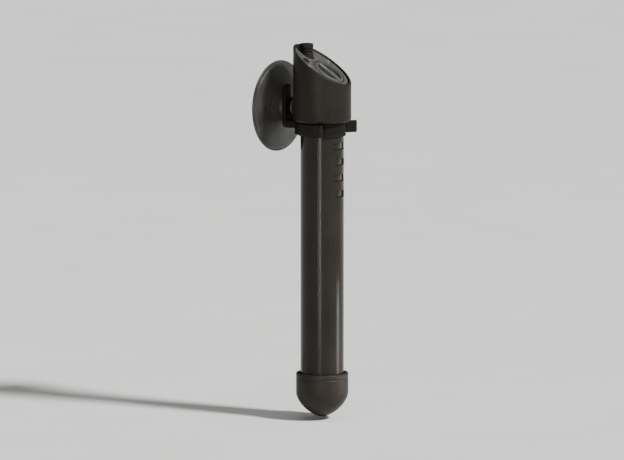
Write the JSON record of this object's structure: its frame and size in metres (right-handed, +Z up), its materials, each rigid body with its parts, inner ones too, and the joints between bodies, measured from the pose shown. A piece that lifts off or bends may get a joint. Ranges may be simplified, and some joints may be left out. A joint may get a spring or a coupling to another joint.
{
  "type": "submersible aquarium heater",
  "caption": "Slim sealed tube heater with a slanted dial head, a push-on foot and a spring clip with one suction cup; the heater turns and slides in its clip.",
  "frame": {"origin": "centre of the suction cup's sealing face", "axes": "+Z up along the tube, -X out of the cup's sealing face towards the glass it holds on to"},
  "size_m": [0.0354, 0.039, 0.1603],
  "materials": {
    "cup": "grey-black flexible cup, slightly glossy and faintly see-through at its rim",
    "holder": "black moulded clip, fine satin grain",
    "liner_rubber": "soft black liner inside the clip",
    "casing": "brown-black semi-gloss tube with two fine mould lines and recessed marks",
    "foot": "brown-black moulded foot",
    "head": "brown-black moulded head, fine grain",
    "face": "mid-grey slanted plate",
    "dial": null,
    "gland_rubber": "black rubber gland",
    "lens": "dark red pilot window, unlit",
    "silicone": "red-brown silicone seals",
    "nylon": "natural nylon",
    "steel": "plain steel",
    "brass": "plain brass",
    "lamp_glass": "clear neon bulb",
    "resin": "brown moulded resin",
    "copper": "copper, and a copper-coloured strip",
    "contact_silver": "silver contacts and the cut-out's can",
    "magnet": "dark sintered magnet",
    "mica": "amber mica",
    "ceramic": "unglazed white ceramic",
    "heat_wire": "oxidised resistance wire"
  },
  "bodies": {
    "suction": {"suction_cup": "cup"},
    "holder": {"holder_bracket": "holder"},
    "liner": {"clip_liner": "liner_rubber"},
    "heater": {"casing_tube": "casing", "foot_cap": "foot", "head_housing": "head", "head_seal": "silicone", "face_plate": "face", "cable_gland": "gland_rubber", "pilot_lens": "lens", "spindle_seal": "silicone", "tube_bung": "nylon", "rod_spring": "steel", "frame_screw_left": "steel", "frame_screw_right": "steel", "terminal_live": "brass", "terminal_neutral": "brass", "neon_lamp": "lamp_glass", "pilot_resistor": "resin", "thermostat_frame": "resin", "bimetal_strip": "copper", "moving_contact": "contact_silver", "setting_blade": "brass", "fixed_contact": "contact_silver", "snap_magnet": "magnet", "thermal_cutout": "contact_silver", "lead_live": "copper", "lead_neutral": "copper", "lead_load": "copper", "upper_spacer": "mica", "ceramic_core": "ceramic", "heating_coil": "heat_wire", "lower_spacer": "mica", "insulating_sleeve": "mica", "end_cushion": "silicone"},
    "dial": {"temperature_dial": "dial", "dial_spindle": "nylon", "dial_cam": "nylon", "spindle_clip": "steel"},
    "rod": {"push_rod": "nylon"}
  },
  "joints": [
    {"name": "holder_swivel", "type": "hinge", "parent": "suction", "child": "holder", "pos_m": [0.0072, 0, 0], "axis": [1, 0, 0], "continuous": true},
    {"name": "heater_turn", "type": "hinge", "parent": "holder", "child": "liner", "pos_m": [0.023, 0, -0.0082], "axis": [0, 0, 1], "continuous": true},
    {"name": "heater_slide", "type": "slide", "parent": "liner", "child": "heater", "axis": [0, 0, 1], "range_m": [0, 0.1]},
    {"name": "dial_turn", "type": "hinge", "parent": "heater", "child": "dial", "pos_m": [0.02659, 0.00063, 0.01664], "axis": [0.5507, 0.0971, 0.829], "range_deg": [-135, 135]},
    {"name": "rod_travel", "type": "slide", "parent": "heater", "child": "rod", "axis": [0, 0, 1], "range_m": [-0.0006, 0.0006], "stiffness_N_per_m": 0.005, "springref_m": 0.25415, "deforming": ["rod_spring"]}
  ],
  "couplings": [
    {"joint": "rod_travel", "follows": "dial_turn", "m_per_rad": -0.00025}
  ]
}
